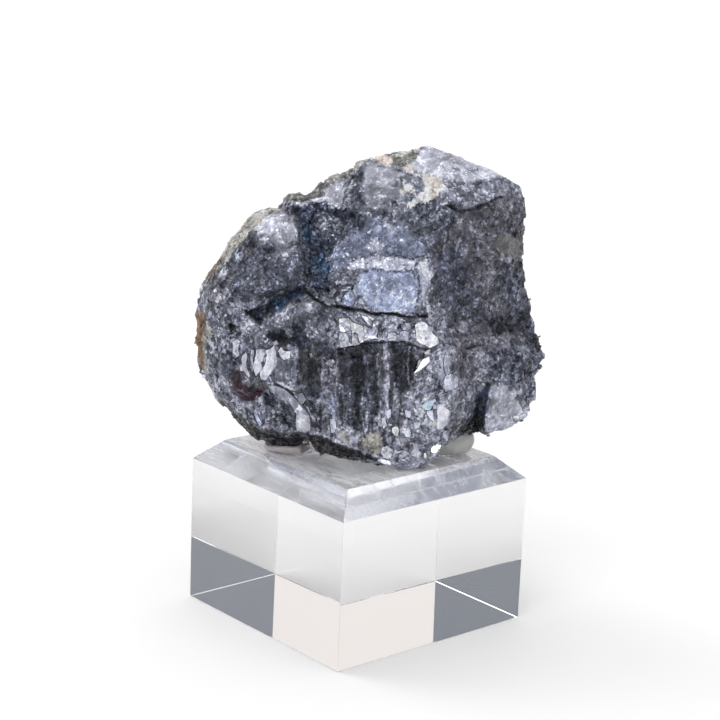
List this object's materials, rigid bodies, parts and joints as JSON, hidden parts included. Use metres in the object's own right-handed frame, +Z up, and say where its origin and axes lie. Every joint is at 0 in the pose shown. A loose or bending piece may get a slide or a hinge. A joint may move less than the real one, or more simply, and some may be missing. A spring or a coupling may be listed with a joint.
{
  "type": "native antimony specimen on display block",
  "caption": "Broken silvery blue-grey mass of native antimony, set with putty on a clear bevelled acrylic block",
  "frame": {"origin": "centre of the block's square underside", "axes": "+Z up, X and Y along the block's sides; the specimen's broad front looks out past the block's corner between -X and -Y"},
  "size_m": [0.0387, 0.0356, 0.0631],
  "materials": {
    "antimony": "granular broken metal with bright cleavage faces",
    "clear_acrylic": "polished clear acrylic",
    "grey_putty": "smooth slightly translucent putty",
    "clear_adhesive": "glossy clear adhesive"
  },
  "bodies": {
    "root": {"antimony": "antimony", "acrylic_block": "clear_acrylic", "putty_right": "grey_putty", "putty_left": "clear_adhesive"}
  },
  "joints": []
}
